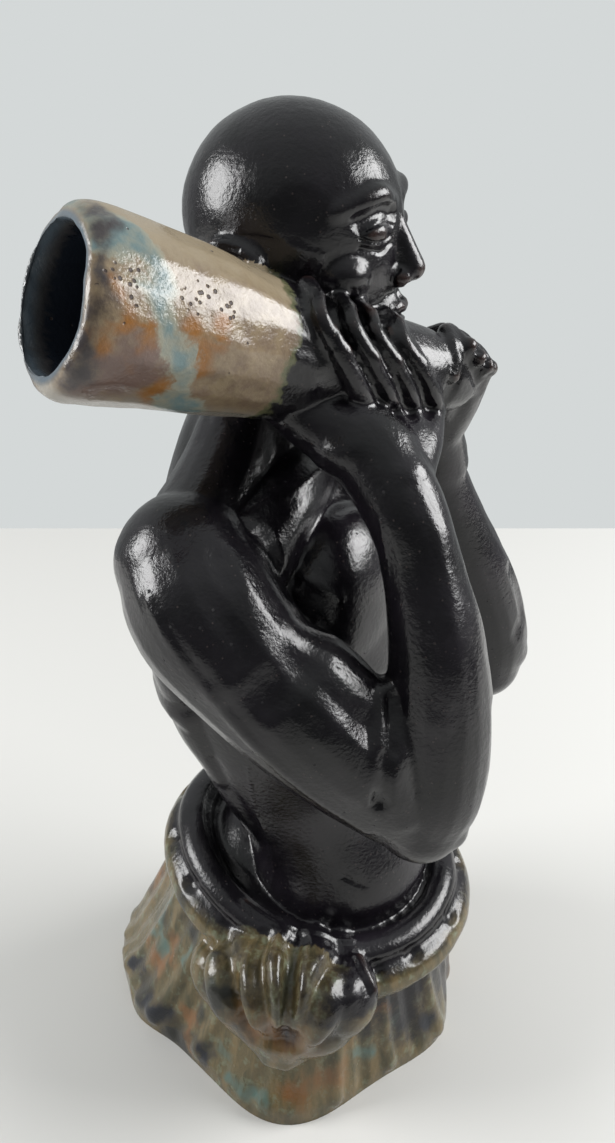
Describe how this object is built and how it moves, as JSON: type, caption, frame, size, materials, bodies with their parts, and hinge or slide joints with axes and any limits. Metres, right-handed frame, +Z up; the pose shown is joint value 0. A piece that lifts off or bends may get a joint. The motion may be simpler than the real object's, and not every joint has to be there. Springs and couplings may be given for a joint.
{
  "type": "horn player figurine",
  "caption": "Glazed stoneware half figure in a knotted, draped cloth that spreads to a scalloped foot, holding a flared horn to the lips with both hands.",
  "frame": {"origin": "on the flat underside, at the middle of the foot", "axes": "+Z up, the figure faces -Y and its right side is towards -X"},
  "size_m": [0.1584, 0.1324, 0.2928],
  "materials": {
    "glazed_stoneware": "stoneware under a glossy black glaze, with an ochre, brown and blue-green running glaze on the horn and the cloth"
  },
  "bodies": {
    "root": {"horn_player": "glazed_stoneware"}
  },
  "joints": []
}
